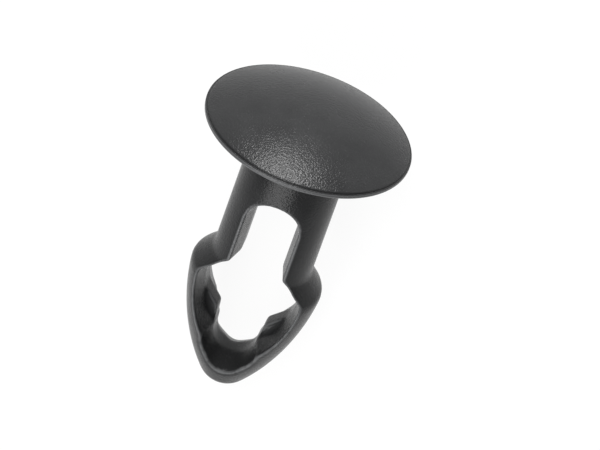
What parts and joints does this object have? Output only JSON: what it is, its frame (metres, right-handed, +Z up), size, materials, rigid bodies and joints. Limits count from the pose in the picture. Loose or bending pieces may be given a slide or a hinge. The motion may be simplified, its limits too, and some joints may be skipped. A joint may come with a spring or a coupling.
{
  "type": "push-in panel rivet",
  "caption": "Push-in panel rivet moulded in dark plastic: low domed head, round split shank and a snap-in barb with an open pocket that lets its legs spring through a hole.",
  "frame": {"origin": "middle of the lying rivet's box, on the surface that it lies on", "axes": "+Z up from the surface, +Y towards the head and -Y towards the tip, +X across the two legs. The rivet lies on its side with its window facing up and down, and its axis leans by 14 degrees in the YZ plane."},
  "size_m": [0.02, 0.0316, 0.0194],
  "materials": {
    "plastic": "fine-grained satin, near black"
  },
  "bodies": {
    "root": {"push_rivet": "plastic"}
  },
  "joints": []
}
